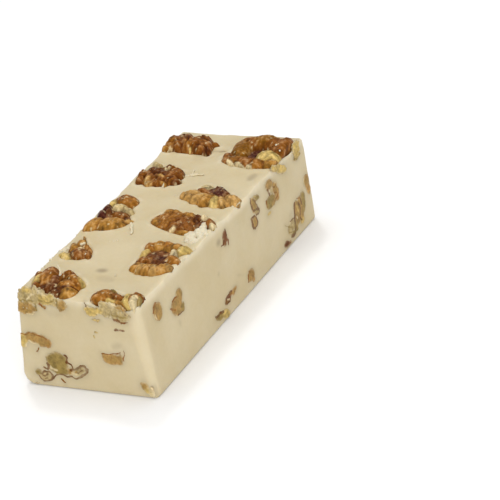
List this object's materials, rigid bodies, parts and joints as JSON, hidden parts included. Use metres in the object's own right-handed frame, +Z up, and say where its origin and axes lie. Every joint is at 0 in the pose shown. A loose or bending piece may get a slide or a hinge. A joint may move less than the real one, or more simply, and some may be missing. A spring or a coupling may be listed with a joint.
{
  "type": "walnut fudge bar",
  "caption": "Hand-cut bar of pale walnut fudge with walnut halves pressed into the top and cut walnut pieces flush in its sides; food prop that lies on its base.",
  "frame": {"origin": "middle of the bar's box, on its base", "axes": "+Y along the bar's length to its back end, +X to its right side, +Z up out of the walnut top"},
  "size_m": [0.0514, 0.1298, 0.0382],
  "materials": {
    "fudge": "smooth, slightly waxy, cream coloured",
    "walnut_skin": "satin, amber to dark brown",
    "walnut_flesh": "matt, tan to pale yellow"
  },
  "bodies": {
    "root": {"fudge": "fudge", "walnut_1": "walnut_skin", "walnut_2": "walnut_skin", "walnut_3": "walnut_skin", "walnut_4": "walnut_skin", "walnut_5": "walnut_skin", "walnut_6": "walnut_skin", "walnut_7": "walnut_skin", "walnut_8": "walnut_skin", "walnut_9": "walnut_skin", "walnut_10": "walnut_skin", "kernel_front_1": "walnut_flesh", "kernel_front_2": "walnut_flesh", "kernel_front_3": "walnut_flesh", "kernel_front_4": "walnut_flesh", "kernel_right_1": "walnut_flesh", "kernel_right_2": "walnut_flesh", "kernel_right_3": "walnut_flesh", "kernel_right_4": "walnut_flesh", "kernel_right_5": "walnut_flesh", "kernel_right_6": "walnut_flesh", "kernel_right_7": "walnut_flesh", "kernel_right_8": "walnut_flesh", "kernel_right_9": "walnut_flesh", "kernel_right_10": "walnut_flesh", "kernel_right_11": "walnut_flesh", "kernel_back_1": "walnut_flesh", "kernel_back_2": "walnut_flesh", "kernel_back_3": "walnut_flesh", "kernel_left_1": "walnut_flesh", "kernel_left_2": "walnut_flesh", "kernel_left_3": "walnut_flesh", "kernel_left_4": "walnut_flesh", "kernel_left_5": "walnut_flesh", "kernel_left_6": "walnut_flesh", "kernel_left_7": "walnut_flesh", "kernel_left_8": "walnut_flesh"}
  },
  "joints": []
}
